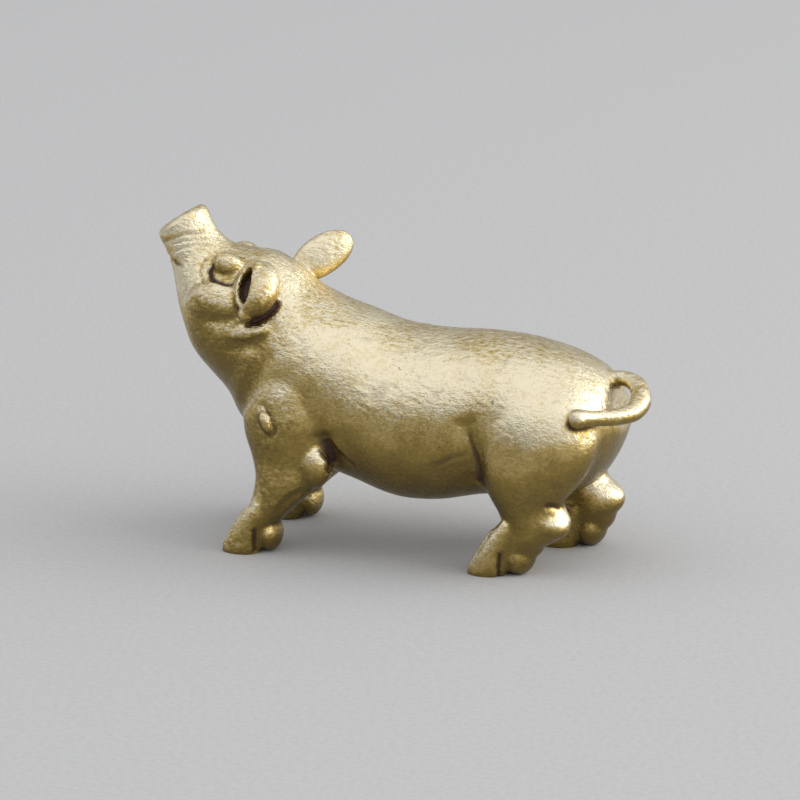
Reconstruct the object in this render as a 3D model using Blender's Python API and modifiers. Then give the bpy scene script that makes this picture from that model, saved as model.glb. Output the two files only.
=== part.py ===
"""A small pig cast in solid brass, standing with its snout raised.

The pig faces -X, its left side is -Y and it stands on the plane z = 0. Sizes are in millimetres and MM turns them
into metres. The body, legs and hooves are lofts through hand-set stations. The tail is a bevelled curve, and the
ears, lids and bumps are shaped spheres. They are fused like wax, then the creases are pressed in and the soles
are cut flat.
"""

import math

import bmesh
import bpy
import numpy as np
from mathutils import Matrix, Vector
from mathutils.bvhtree import BVHTree

MM = 0.001

# Body: its length from the face of the snout disc to the rump, and its height from the floor to the disc's top
BODY_LENGTH = 42.95
STANDING_HEIGHT = 29.15
BODY_WIDTH = 15.0
SNOUT_DISC_DIAMETER = 4.9

# Legs and hooves
FOOT_SPACING = 10.4
RIGHT_HIND_STEP_BACK = 3.3
RIGHT_FORE_STEP_BACK = -0.4
TOE_WIDTH = 2.5
TOE_SPREAD = 2.2
HEEL_WIDTH = 2.0
SOLE_TRIM = 0.5
STEP_TOP = 7.8
STEP_FOOT = 1.5

# Tail
TAIL_THICKNESS = 1.45

# Ears: where the seat lies along the head, how far below the head's top line, how deep the root sinks in, the way
# the leaf points and the way its hollow faces.
LEFT_EAR = {
    "seat_x": -10.9, "below_top": 0.45, "sink": -0.8, "direction": (-0.6, -2.0, -4.0), "facing": (-0.7, -0.7, 0.0),
    "length": 5.2, "width": 4.2, "depth": 3.0,
}
RIGHT_EAR = {
    "seat_x": -11.0, "below_top": 2.4, "sink": 1.4, "direction": (0.71, 0.5, 0.5), "facing": (-0.55, 0.8, 0.1),
    "length": 6.3, "width": 3.6, "depth": 1.5,
}
# The hollow of an ear, in shares of the leaf: how far it is moved to the tip and out of the leaf, and its size.
EAR_HOLLOW = {"to_tip": 0.05, "out": 0.52, "length": 0.68, "width": 0.6, "depth": 0.9}

# Fusing and finish
MASS_VOXEL = 0.3
MASS_SOFTENING = 14
DETAIL_VOXEL = 0.25
DETAIL_SOFTENING = 3
TRIANGLES = 8000
BODY_RINGS = 110
BODY_SIDES = 56
LEG_RINGS = 60
LEG_SIDES = 36
HOOF_RINGS = 24
HOOF_SIDES = 24
GROUND_SIZE = 100.0
GROUND_DEPTH = 5.0

# The tables below give the proportions. Their x and z are stretched to the body's length and standing height.
#
# Stations of the body from rump to snout. Each is the top point x, z, the bottom point x, z, the share of the
# body's width and how much narrower the top is than the bottom.
BODY_STATIONS = [
    (19.8, 15.0, 20.6, 12.2, 0.35, 0.0),
    (19.1, 16.5, 19.6, 9.6, 0.61, 0.0),
    (17.8, 17.6, 17.9, 7.3, 0.80, 0.0),
    (15.7, 18.6, 15.5, 6.2, 0.92, 0.0),
    (12.5, 19.4, 12.0, 5.9, 0.97, 0.05),
    (8.5, 19.8, 8.2, 5.5, 0.96, 0.08),
    (4.5, 19.7, 4.3, 4.7, 0.99, 0.1),
    (0.8, 19.9, 0.5, 4.7, 1.00, 0.1),
    (-2.6, 20.9, -3.2, 5.8, 0.97, 0.08),
    (-5.0, 21.6, -7.0, 6.9, 0.93, 0.05),
    (-6.8, 22.3, -11.0, 8.4, 0.89, 0.0),
    (-8.1, 23.0, -13.9, 10.2, 0.83, 0.0),
    (-9.2, 24.0, -15.3, 12.6, 0.77, 0.0),
    (-10.5, 24.9, -17.0, 14.5, 0.76, 0.0),
    (-12.0, 25.5, -18.6, 16.4, 0.69, 0.05),
    (-13.7, 25.6, -19.6, 19.0, 0.59, 0.1),
    (-15.3, 25.8, -20.3, 21.6, 0.45, 0.1),
    (-16.4, 26.4, -20.8, 23.4, 0.35, 0.0),
    (-17.1, 27.2, -21.3, 24.7, 0.29, 0.0),
]

# Snout end from its narrow neck to the face of the disc, in the same form. The last value is the share of the
# disc's diameter.
SNOUT_STATIONS = [
    (-17.1, 27.2, -21.3, 24.7, 0.9),
    (-17.5, 28.0, -21.6, 25.3, 0.92),
    (-17.8, 28.7, -22.05, 25.9, 1.0),
    (-18.1, 29.15, -22.35, 26.35, 1.0),
    (-18.6, 29.1, -22.2, 26.7, 0.86),
]

# Stations of the left legs from the body down. Each is the front point x, z, the rear point x, z, the distance in
# from the foot's middle line and the half width.
FORE_LEG_STATIONS = [
    (-9.6, 18.0, -7.0, 17.6, 2.8, 1.0),
    (-11.2, 16.0, -5.0, 15.4, 1.8, 2.4),
    (-12.6, 13.0, -3.9, 12.4, 1.0, 2.9),
    (-12.6, 10.6, -4.0, 10.2, 0.4, 3.0),
    (-11.9, 8.6, -4.6, 8.2, 0.0, 2.7),
    (-11.4, 6.8, -5.4, 6.4, 0.0, 2.4),
    (-11.6, 5.2, -6.8, 4.9, 0.0, 2.1),
    (-12.0, 3.8, -8.4, 3.4, 0.0, 1.85),
    (-12.5, 2.7, -9.4, 2.3, 0.0, 1.75),
    (-12.7, 1.7, -10.0, 1.5, 0.0, 1.5),
]
HIND_LEG_STATIONS = [
    (12.6, 18.2, 15.6, 17.8, 3.0, 1.0),
    (9.9, 15.8, 18.4, 15.4, 1.2, 2.6),
    (8.5, 12.8, 19.5, 12.4, 0.5, 3.4),
    (8.5, 10.0, 18.8, 9.8, 0.1, 3.2),
    (9.4, 7.6, 17.5, 7.8, 0.0, 2.7),
    (10.5, 5.7, 16.4, 6.4, 0.0, 2.2),
    (11.1, 4.3, 17.3, 5.0, 0.0, 2.1),
    (10.9, 3.4, 16.6, 3.6, 0.0, 2.0),
    (10.4, 2.5, 14.8, 2.5, 0.0, 1.85),
    (10.2, 1.7, 13.6, 1.6, 0.0, 1.5),
]

# Stations of one toe and one heel lobe, from the ankle to the floor, with x measured back from the tip of the toe.
# The last value is the share of the toe's or heel's width.
TOE_STATIONS = [
    (2.2, 3.4, 3.6, 3.2, 0.55),
    (1.5, 2.5, 3.7, 2.3, 0.9),
    (0.8, 1.4, 3.7, 1.2, 1.0),
    (0.15, 0.5, 3.55, 0.4, 1.0),
    (0.0, 0.0, 3.4, 0.0, 0.92),
    (0.1, -SOLE_TRIM, 3.2, -SOLE_TRIM, 0.8),
]
HEEL_STATIONS = [
    (3.9, 3.0, 5.6, 3.1, 0.6),
    (3.85, 2.1, 5.5, 2.2, 0.95),
    (3.85, 1.3, 5.1, 1.3, 1.0),
    (3.95, 0.65, 4.75, 0.6, 0.7),
    (4.15, 0.3, 4.5, 0.3, 0.3),
]
FORE_TOE_X = -14.5
HIND_TOE_X = 8.1

# The four legs: stations, tip of the toe, side and how far the foot stands back.
LEGS = [
    (FORE_LEG_STATIONS, FORE_TOE_X, -1, 0.0),
    (FORE_LEG_STATIONS, FORE_TOE_X, 1, RIGHT_FORE_STEP_BACK),
    (HIND_LEG_STATIONS, HIND_TOE_X, -1, 0.0),
    (HIND_LEG_STATIONS, HIND_TOE_X, 1, RIGHT_HIND_STEP_BACK),
]

# Tail from its root on the rump, round its loop to the blunt end on the left buttock: x, y, z and share of the
# tail's thickness.
TAIL_POINTS = [
    (17.0, 0.6, 15.6, 1.3),
    (18.6, 0.7, 16.2, 1.0),
    (20.2, 0.5, 16.5, 0.9),
    (21.6, -0.2, 16.1, 1.0),
    (22.3, -1.5, 15.2, 1.1),
    (21.9, -3.0, 14.5, 1.0),
    (20.6, -4.5, 14.3, 0.95),
    (19.0, -5.8, 14.4, 1.0),
    (17.7, -6.7, 14.5, 1.25),
]

# Rounded masses on both sides, as x, z on the side of the skin, how deep the middle sinks in, and the size in x,
# y and z: the upper lid, the lower lid, the cheek and the elbow.
SIDE_BUMPS = [
    (-14.6, 24.3, 0.35, (3.3, 2.4, 2.2)),
    (-16.3, 23.5, 0.1, (1.2, 0.8, 0.6)),
    (-14.6, 21.3, 1.25, (6.4, 3.0, 4.0)),
    (-5.7, 9.5, 2.0, (3.4, 4.8, 5.0)),
]

# The small raised drop on the left shoulder: x, z on the skin, size in x, y and z, and its slant.
DROP = {"x": -9.65, "z": 12.0, "size": (1.0, 0.9, 2.1), "slant": -22.0}

# Creases pressed into the skin of both sides, as x, z points seen from the side, with their width and depth.
SIDE_CREASES = [
    ([(-16.4, 25.1), (-16.1, 24.3), (-15.1, 23.6), (-14.0, 23.4), (-13.0, 23.6)], 0.35, 0.3),
    ([(-17.0, 23.6), (-16.1, 23.0), (-14.9, 23.0), (-13.6, 23.2)], 0.3, 0.2),
    ([(-10.0, 18.5), (-11.0, 16.2), (-11.9, 14.3), (-12.2, 12.6)], 0.7, 0.35),
    ([(8.6, 14.1), (9.0, 12.0), (9.3, 9.6), (9.4, 7.6)], 0.7, 0.4),
    ([(-4.2, 10.4), (-3.7, 9.2), (-3.6, 8.2)], 0.6, 0.4),
]

# The mouth runs round the underside of the snout: x, share of the snout's half width, z, then width and depth.
MOUTH = ([(-19.2, -1.0, 24.1), (-20.2, -0.85, 24.1), (-20.9, -0.5, 24.0), (-21.2, 0.0, 24.0),
          (-20.9, 0.5, 24.0), (-20.2, 0.85, 24.1), (-19.2, 1.0, 24.1)], 0.35, 0.4)

# Nostrils in the face of the disc: a short slanting slot on each side, as x, distance from the middle and z.
NOSTRIL = {"points": [(-20.8, 0.8, 27.6), (-20.2, 1.05, 28.1)], "width": 0.5, "depth": 0.6}

# How far the tables are stretched along x and z.
LENGTHWISE = BODY_LENGTH / (BODY_STATIONS[0][2] - min(row[2] for row in SNOUT_STATIONS))
UPWARD = STANDING_HEIGHT / max(row[1] for row in SNOUT_STATIONS)


def spline(rows, count):
    """Sample a Catmull-Rom curve through the rows at evenly spaced places along its middle line."""
    rows = np.asarray(rows, float)
    padded = np.vstack([2 * rows[0] - rows[1], rows, 2 * rows[-1] - rows[-2]])
    steps = np.linalg.norm(np.diff(rows[:, :4], axis=0), axis=1)
    reach = np.concatenate([[0.0], np.cumsum(steps)])
    place = np.interp(np.linspace(0.0, reach[-1], count), reach, np.arange(len(rows)))
    index = np.minimum(place.astype(int), len(rows) - 2)
    part = (place - index)[:, None]
    before, start, end, after = padded[index], padded[index + 1], padded[index + 2], padded[index + 3]
    return 0.5 * (2 * start + (end - before) * part
                  + (2 * before - 5 * start + 4 * end - after) * part ** 2
                  + (3 * start - before - 3 * end + after) * part ** 3)


def stretched(x, z):
    """A point of the tables, stretched to the body's length and standing height."""
    return x * LENGTHWISE, z * UPWARD


def add_loft(shape, stations, middle_y, count, around):
    """Add a closed loft to the bmesh. Each station is x, z of one edge, x, z of the other, an offset of the middle
    line in y, the half width and how much narrower the first edge is. A ring is an ellipse between the two edges.
    """
    angle = np.linspace(0.0, 2 * math.pi, around, endpoint=False)
    rings = []
    for ax, az, bx, bz, offset, half_width, taper in spline(stations, count):
        along = np.cos(angle)
        across = np.sin(angle) * half_width * (1 - taper * along)
        x = (ax + bx) / 2 + (ax - bx) / 2 * along
        z = (az + bz) / 2 + (az - bz) / 2 * along
        y = middle_y + offset + across
        rings.append([shape.verts.new(Vector(point) * MM) for point in zip(x, y, z)])
    faces = []
    for ring, following in zip(rings, rings[1:]):
        for step in range(around):
            after = (step + 1) % around
            faces.append(shape.faces.new((ring[step], ring[after], following[after], following[step])))
    faces.append(shape.faces.new(rings[0]))
    faces.append(shape.faces.new(rings[-1]))
    bmesh.ops.recalc_face_normals(shape, faces=faces)


def add_ball(shape, centre, size, turn=Matrix.Identity(3)):
    """Add a sphere stretched to the size in x, y and z, turned and moved to its centre."""
    place = Matrix.Translation(Vector(centre) * MM) @ turn.to_4x4() @ Matrix.Diagonal((*(Vector(size) * MM / 2), 1))
    bmesh.ops.create_uvsphere(shape, u_segments=32, v_segments=20, radius=1.0, matrix=place)


def object_from(shape, name, collection):
    """Turn a bmesh into an object in the collection."""
    mesh = bpy.data.meshes.new(name)
    shape.to_mesh(mesh)
    shape.free()
    made = bpy.data.objects.new(name, mesh)
    collection.objects.link(made)
    return made


def evaluated_mesh(made):
    """The object's mesh with its modifiers applied."""
    graph = bpy.context.evaluated_depsgraph_get()
    return bpy.data.meshes.new_from_object(made.evaluated_get(graph))


def remove(made):
    """Remove an object and its data."""
    data = made.data
    bpy.data.objects.remove(made)
    if isinstance(data, bpy.types.Mesh):
        bpy.data.meshes.remove(data)
    else:
        bpy.data.curves.remove(data)


def fused(shape, voxel, rounds, collection):
    """Fuse all closed forms of the bmesh into one skin and soften it, like wax."""
    lump = object_from(shape, "wax", collection)
    remesh = lump.modifiers.new("fuse", "REMESH")
    remesh.mode = "VOXEL"
    remesh.voxel_size = voxel * MM
    soften = lump.modifiers.new("soften", "SMOOTH")
    soften.factor = 0.5
    soften.iterations = rounds
    mesh = evaluated_mesh(lump)
    remove(lump)
    return mesh


def body_stations():
    """Body and snout stations in one list, with the half widths in millimetres."""
    rows = []
    for ax, az, bx, bz, share, taper in BODY_STATIONS[:-1]:
        rows.append((*stretched(ax, az), *stretched(bx, bz), 0.0, share * BODY_WIDTH / 2, taper))
    for ax, az, bx, bz, share in SNOUT_STATIONS:
        rows.append((*stretched(ax, az), *stretched(bx, bz), 0.0, share * SNOUT_DISC_DIAMETER / 2, 0.0))
    return rows


def leg_stations(stations, side, step_back):
    """Stations of one leg. A foot set further back draws the leg with it, more towards the floor."""
    rows = []
    for ax, az, bx, bz, inset, half in stations:
        lowered = min(1.0, max(0.0, 1.0 - ((az + bz) / 2 - STEP_FOOT) / (STEP_TOP - STEP_FOOT)))
        back = step_back * lowered
        front_x, front_z = stretched(ax, az)
        rear_x, rear_z = stretched(bx, bz)
        rows.append((front_x + back, front_z, rear_x + back, rear_z, -side * inset, half, 0.0))
    return rows


def foot_stations(stations, tip_x, width):
    """Stations of a toe or a heel lobe whose toe has its tip at tip_x."""
    return [(tip_x + ax, az, tip_x + bx, bz, 0.0, share * width / 2, 0.0) for ax, az, bx, bz, share in stations]


def add_hoof(shape, tip_x, side):
    """Add two toes side by side and the two heel lobes behind them."""
    for half in (-0.5, 0.5):
        y = side * FOOT_SPACING / 2 + half * TOE_SPREAD
        add_loft(shape, foot_stations(TOE_STATIONS, tip_x, TOE_WIDTH), y, HOOF_RINGS, HOOF_SIDES)
        add_loft(shape, foot_stations(HEEL_STATIONS, tip_x, HEEL_WIDTH), y, HOOF_RINGS, HOOF_SIDES)


def add_tail(shape, collection):
    """Add the tail: a round curve with caps, made a mesh."""
    curve = bpy.data.curves.new("tail", "CURVE")
    curve.dimensions = "3D"
    curve.bevel_depth = TAIL_THICKNESS / 2 * MM
    curve.bevel_resolution = 4
    curve.use_fill_caps = True
    line = curve.splines.new("BEZIER")
    line.bezier_points.add(len(TAIL_POINTS) - 1)
    for point, (drawn_x, y, drawn_z, share) in zip(line.bezier_points, TAIL_POINTS):
        x, z = stretched(drawn_x, drawn_z)
        point.co = Vector((x, y, z)) * MM
        point.radius = share
        point.handle_left_type = point.handle_right_type = "AUTO"
    made = bpy.data.objects.new("tail", curve)
    collection.objects.link(made)
    mesh = evaluated_mesh(made)
    shape.from_mesh(mesh)
    bpy.data.meshes.remove(mesh)
    remove(made)
    knob = TAIL_THICKNESS * share
    add_ball(shape, (x, y, z), (knob, knob, knob))


def ear_mesh(root, tip, facing, width, depth, collection):
    """A leaf from root to tip, hollowed on the side that faces the given way."""
    root, tip = Vector(root), Vector(tip)
    along = (tip - root).normalized()
    across = Vector(facing).cross(along).normalized()
    out = along.cross(across)
    turn = Matrix((along, across, out)).transposed()
    length = (tip - root).length
    leaf = bmesh.new()
    add_ball(leaf, (root + tip) / 2, (length, width, depth), turn)
    ear = object_from(leaf, "ear", collection)
    hollow = bmesh.new()
    middle = (root + tip) / 2 + along * length * EAR_HOLLOW["to_tip"] + out * depth * EAR_HOLLOW["out"]
    size = (length * EAR_HOLLOW["length"], width * EAR_HOLLOW["width"], depth * EAR_HOLLOW["depth"])
    add_ball(hollow, middle, size, turn)
    cutter = object_from(hollow, "ear_hollow", collection)
    cut = ear.modifiers.new("hollow", "BOOLEAN")
    cut.operation = "DIFFERENCE"
    cut.object = cutter
    mesh = evaluated_mesh(ear)
    remove(ear)
    remove(cutter)
    return mesh


def skin_point(skin, x, z, side):
    """The outermost point of the skin on the given side, at a point x, z of the tables, in millimetres."""
    x, z = stretched(x, z)
    hit = skin.ray_cast(Vector((x, side * 2 * BODY_WIDTH, z)) * MM, Vector((0.0, -side, 0.0)))[0]
    return hit / MM


def ear_seat(skin, ear, side):
    """The skin at the ear's seat, which is measured down from the top line of the head."""
    x = stretched(ear["seat_x"], 0.0)[0]
    top = skin.ray_cast(Vector((x, 0.0, 2 * STANDING_HEIGHT)) * MM, Vector((0.0, 0.0, -1.0)))[0] / MM
    start = Vector((x, side * 2 * BODY_WIDTH, top.z - ear["below_top"]))
    return skin.ray_cast(start * MM, Vector((0.0, -side, 0.0)))[0] / MM


def press(mesh, path, width, depth):
    """Press a groove into the mesh. Each vertex moves against its normal by the depth times a bell curve of its
    distance to the path, and a negative depth raises a ridge.
    """
    co = np.empty(len(mesh.vertices) * 3, np.float32)
    normal = np.empty(len(mesh.vertices) * 3, np.float32)
    mesh.vertices.foreach_get("co", co)
    mesh.vertices.foreach_get("normal", normal)
    co, normal = co.reshape(-1, 3) / MM, normal.reshape(-1, 3)
    path = np.asarray([tuple(point) for point in path])
    nearest = np.full(len(co), 1e9)
    for start, end in zip(path, path[1:]):
        span = end - start
        share = np.clip((co - start) @ span / (span @ span), 0.0, 1.0)
        nearest = np.minimum(nearest, np.linalg.norm(co - start - share[:, None] * span, axis=1))
    co -= normal * (depth * np.exp(-(nearest / width) ** 2))[:, None]
    mesh.vertices.foreach_set("co", (co * MM).ravel())
    mesh.update()


def wax_masses(collection):
    """Body and legs fused and well softened, so that shoulders and thighs run into the flanks."""
    shape = bmesh.new()
    add_loft(shape, body_stations(), 0.0, BODY_RINGS, BODY_SIDES)
    for stations, _, side, step_back in LEGS:
        rows = leg_stations(stations, side, step_back)
        add_loft(shape, rows, side * FOOT_SPACING / 2, LEG_RINGS, LEG_SIDES)
    return fused(shape, MASS_VOXEL, MASS_SOFTENING, collection)


def add_face_and_elbows(shape, skin):
    """Add the lids, cheeks and elbows of both sides and the drop on the left shoulder, seated on the skin."""
    for side in (-1, 1):
        for x, z, sink, size in SIDE_BUMPS:
            seat = skin_point(skin, x, z, side)
            add_ball(shape, seat - Vector((0.0, side * sink, 0.0)), size)
    slant = Matrix.Rotation(math.radians(DROP["slant"]), 3, "Y")
    add_ball(shape, skin_point(skin, DROP["x"], DROP["z"], -1), DROP["size"], slant)


def add_ears(shape, skin, collection):
    """Add the drooping left ear and the raised right ear."""
    for side, ear in ((-1, LEFT_EAR), (1, RIGHT_EAR)):
        root = ear_seat(skin, ear, side) - Vector((0.0, side * ear["sink"], 0.0))
        tip = root + Vector(ear["direction"]).normalized() * ear["length"]
        mesh = ear_mesh(root, tip, ear["facing"], ear["width"], ear["depth"], collection)
        shape.from_mesh(mesh)
        bpy.data.meshes.remove(mesh)


def press_creases(mesh):
    """Press in the creases of both flanks, the mouth and the nostrils."""
    skin = BVHTree.FromPolygons([v.co for v in mesh.vertices], [p.vertices for p in mesh.polygons])
    for side in (-1, 1):
        for points, width, depth in SIDE_CREASES:
            press(mesh, [skin_point(skin, x, z, side) for x, z in points], width, depth)
        path = [(x * LENGTHWISE, side * apart, z * UPWARD) for x, apart, z in NOSTRIL["points"]]
        press(mesh, path, NOSTRIL["width"], NOSTRIL["depth"])
    points, width, depth = MOUTH
    path = [(x * LENGTHWISE, share * SNOUT_DISC_DIAMETER / 2, z * UPWARD) for x, share, z in points]
    press(mesh, path, width, depth)


def stand(made):
    """Place the object so that the middle of its box is over the origin."""
    corners = np.array(made.bound_box)
    middle = (corners.min(axis=0) + corners.max(axis=0)) / 2
    made.location = (-middle[0], -middle[1], 0.0)


def brass():
    """Antique brass: warm yellow metal, polished by handling."""
    material = bpy.data.materials.new("antique_brass")
    material.use_nodes = True
    surface = material.node_tree.nodes["Principled BSDF"]
    surface.inputs["Base Color"].default_value = (0.55, 0.40, 0.17, 1.0)
    surface.inputs["Metallic"].default_value = 1.0
    surface.inputs["Roughness"].default_value = 0.35
    return material


def build_pig():
    """Build the casting in its collection and leave the decimation and the sole cut as modifiers."""
    for made in list(bpy.data.objects):
        bpy.data.objects.remove(made)
    collection = bpy.data.collections.new("brass_pig")
    cutters = bpy.data.collections.new("cutters")
    bpy.context.scene.collection.children.link(collection)
    bpy.context.scene.collection.children.link(cutters)

    masses = wax_masses(collection)
    skin = BVHTree.FromPolygons([v.co for v in masses.vertices], [p.vertices for p in masses.polygons])
    shape = bmesh.new()
    for _, tip_x, side, step_back in LEGS:
        add_hoof(shape, tip_x * LENGTHWISE + step_back, side)
    add_face_and_elbows(shape, skin)
    add_ears(shape, skin, collection)
    add_tail(shape, collection)
    shape.from_mesh(masses)
    bpy.data.meshes.remove(masses)
    mesh = fused(shape, DETAIL_VOXEL, DETAIL_SOFTENING, collection)
    press_creases(mesh)
    mesh.name = "pig"
    mesh.shade_smooth()
    mesh.materials.append(brass())
    pig = bpy.data.objects.new("pig", mesh)
    collection.objects.link(pig)
    stand(pig)

    thin_out = pig.modifiers.new("thin_out", "DECIMATE")
    thin_out.ratio = TRIANGLES / (2 * len(mesh.polygons))
    thin_out.use_collapse_triangulate = True

    ground = bmesh.new()
    bmesh.ops.create_cube(ground, size=1.0, matrix=Matrix.Translation((0, 0, -0.5 * GROUND_DEPTH * MM))
                          @ Matrix.Diagonal((GROUND_SIZE * MM, GROUND_SIZE * MM, GROUND_DEPTH * MM, 1)))
    cutter = object_from(ground, "ground_cutter", cutters)
    cutter.hide_render = True
    cutter.display_type = "WIRE"
    soles = pig.modifiers.new("flat_soles", "BOOLEAN")
    soles.operation = "DIFFERENCE"
    soles.object = cutter
    return pig


build_pig()
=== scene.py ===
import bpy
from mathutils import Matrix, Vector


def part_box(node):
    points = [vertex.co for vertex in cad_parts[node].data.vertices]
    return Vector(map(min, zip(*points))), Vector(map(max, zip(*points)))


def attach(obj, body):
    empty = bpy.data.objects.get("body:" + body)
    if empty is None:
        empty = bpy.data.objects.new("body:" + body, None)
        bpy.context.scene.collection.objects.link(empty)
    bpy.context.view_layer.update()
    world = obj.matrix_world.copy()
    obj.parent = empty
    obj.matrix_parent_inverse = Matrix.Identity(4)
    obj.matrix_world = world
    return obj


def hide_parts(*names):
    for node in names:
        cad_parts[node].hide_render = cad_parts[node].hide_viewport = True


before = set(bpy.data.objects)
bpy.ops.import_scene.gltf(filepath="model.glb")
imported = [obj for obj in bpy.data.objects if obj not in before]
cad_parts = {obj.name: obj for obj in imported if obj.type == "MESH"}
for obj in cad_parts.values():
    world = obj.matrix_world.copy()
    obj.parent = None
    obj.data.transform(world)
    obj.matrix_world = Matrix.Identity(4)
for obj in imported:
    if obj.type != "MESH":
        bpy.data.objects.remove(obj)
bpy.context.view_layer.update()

# A small pig cast in solid brass from a carved wax, darkened, and rubbed bright again where hands reach it.
#
# The pig faces -X, its left side is -Y and it stands on the plane z = 0. Sizes are in millimetres and MM turns
# them into metres. Points are given in the modeller's own frame. The finished mesh is then set into the box of
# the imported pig.

import math

import bmesh
import bpy
import numpy as np
from mathutils import Vector
from mathutils.bvhtree import BVHTree

MM = 0.001

# Sizes

BODY_WIDTH = 15.0
SNOUT_DISC = 4.9
FORE_FOOT_SPACING = 11.4
HIND_FOOT_SPACING = 10.4
RIGHT_HIND_STEP_BACK = 3.3
RIGHT_FORE_STEP_BACK = -0.4
STEP_TOP = 7.8
STEP_FOOT = 1.5
TOE_WIDTH = 2.5
TOE_SPREAD = 2.2
TAIL_THICKNESS = 1.6
EAR_RIM = 0.6

# How finely the wax is melted together and how often it is smoothed: first body and legs, then the whole skin.
MASS_VOXEL = 0.3
MASS_SOFTENING = 14
SKIN_VOXEL = 0.14
SKIN_SOFTENING = 9
MOST_TRIANGLES = 190000

# Body from rump to snout: top x, z, bottom x, z, share of the width, how much narrower the top is.
BODY = [
    (19.8, 15.0, 20.6, 12.2, 0.35, 0.0),
    (19.1, 16.5, 19.6, 9.6, 0.61, 0.0),
    (17.8, 17.6, 17.9, 7.3, 0.80, 0.0),
    (15.7, 18.6, 15.5, 6.2, 0.92, 0.0),
    (12.5, 19.4, 12.0, 5.9, 0.97, 0.05),
    (8.5, 19.8, 8.2, 5.5, 0.96, 0.08),
    (4.5, 19.7, 4.3, 4.7, 0.99, 0.1),
    (0.8, 19.9, 0.5, 4.7, 1.00, 0.1),
    (-2.6, 20.9, -3.2, 5.8, 0.97, 0.08),
    (-5.0, 21.6, -7.0, 6.9, 0.93, 0.05),
    (-6.8, 22.3, -11.0, 8.4, 0.89, 0.0),
    (-8.1, 23.0, -13.9, 10.2, 0.83, 0.0),
    (-9.2, 24.0, -15.3, 12.6, 0.77, 0.04),
    (-10.5, 24.9, -17.0, 14.5, 0.76, 0.1),
    (-12.0, 25.5, -18.6, 16.4, 0.70, 0.2),
    (-13.7, 25.6, -19.6, 19.0, 0.60, 0.3),
    (-15.3, 25.8, -20.3, 21.6, 0.47, 0.34),
    (-16.4, 26.4, -20.8, 23.4, 0.37, 0.3),
]
# Snout from its neck to the face of the disc. The fifth value is the share of the disc's diameter.
SNOUT = [
    (-17.1, 27.2, -21.3, 24.7, 1.02, 0.35),
    (-17.5, 28.0, -21.6, 25.3, 0.99, 0.3),
    (-17.8, 28.7, -22.05, 25.9, 1.0, 0.22),
    (-18.1, 29.15, -22.35, 26.35, 0.99, 0.15),
    (-18.6, 29.1, -22.2, 26.7, 0.84, 0.0),
]
# Legs from the body down: front x, z, rear x, z, distance in from the foot's line, half width.
FORE_LEG = [
    (-9.6, 18.0, -7.0, 17.6, 3.3, 1.0),
    (-11.2, 16.0, -5.0, 15.4, 1.9, 2.8),
    (-12.6, 13.0, -3.9, 12.4, 1.2, 3.15),
    (-12.6, 10.6, -4.0, 10.2, 1.0, 2.9),
    (-11.9, 8.6, -4.6, 8.2, 0.7, 2.55),
    (-11.4, 6.8, -5.4, 6.4, 0.4, 2.4),
    (-11.6, 5.2, -6.8, 4.9, 0.2, 2.1),
    (-12.0, 3.8, -8.4, 3.4, 0.1, 1.95),
    (-12.5, 2.7, -9.4, 2.3, 0.0, 1.95),
    (-12.7, 1.7, -10.0, 1.5, 0.0, 1.7),
]
HIND_LEG = [
    (12.6, 18.2, 15.6, 17.8, 3.0, 1.0),
    (9.9, 15.8, 18.4, 15.4, 1.2, 2.6),
    (8.5, 12.8, 19.5, 12.4, 0.5, 3.4),
    (8.5, 10.0, 18.8, 9.8, 0.1, 3.2),
    (9.4, 7.6, 17.5, 7.8, 0.0, 2.7),
    (10.5, 5.7, 16.4, 6.4, 0.0, 2.2),
    (11.1, 4.3, 17.3, 5.0, 0.0, 2.1),
    (10.9, 3.4, 16.6, 3.6, 0.0, 2.0),
    (10.4, 2.5, 14.8, 2.5, 0.0, 1.85),
    (10.2, 1.7, 13.6, 1.6, 0.0, 1.5),
]
# One toe from the ankle to the floor: front x, z, rear x, z, share of the width, with x measured back from its
# tip.
TOE = [
    (3.2, 4.9, 4.6, 4.4, 0.55),
    (2.4, 4.0, 4.4, 3.5, 0.78),
    (1.7, 3.1, 4.2, 2.7, 0.9),
    (0.95, 1.9, 4.0, 1.6, 1.0),
    (0.35, 0.8, 3.8, 0.6, 1.0),
    (0.15, 0.0, 3.6, 0.0, 0.94),
    (0.25, -0.5, 3.4, -0.5, 0.8),
]
# The heel lobe behind the toes: how far back from the toe's tip and how high its middle is, then its size.
FORE_HEEL = (4.3, 1.6, (1.9, 3.5, 3.1))
HIND_HEEL = (4.5, 1.65, (2.9, 3.7, 3.5))
# The pastern that joins the heel lobe of a hind foot to the hock, in the same terms.
PASTERN = (5.2, 3.3, (3.3, 3.2, 4.0))
# The four legs: stations, tip of the toe, heel, y of the foot's line, how far the foot stands back.
LEGS = [
    (FORE_LEG, -14.2, FORE_HEEL, -FORE_FOOT_SPACING / 2, 0.0),
    (FORE_LEG, -14.2, FORE_HEEL, FORE_FOOT_SPACING / 2, RIGHT_FORE_STEP_BACK),
    (HIND_LEG, 8.1, HIND_HEEL, -HIND_FOOT_SPACING / 2, 0.0),
    (HIND_LEG, 8.1, HIND_HEEL, HIND_FOOT_SPACING / 2, RIGHT_HIND_STEP_BACK),
]
# Tail from its root round the loop to the blunt end: x, y, z, share of the thickness.
TAIL = [
    (17.0, 0.6, 15.6, 1.3),
    (18.6, 0.7, 16.15, 1.0),
    (20.2, 0.5, 16.4, 0.85),
    (21.5, -0.3, 16.0, 1.0),
    (22.15, -1.6, 15.2, 1.2),
    (21.9, -3.0, 14.5, 1.05),
    (20.8, -4.5, 14.3, 0.9),
    (19.3, -5.8, 14.4, 0.9),
    (18.1, -6.8, 14.5, 1.15),
]
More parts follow.
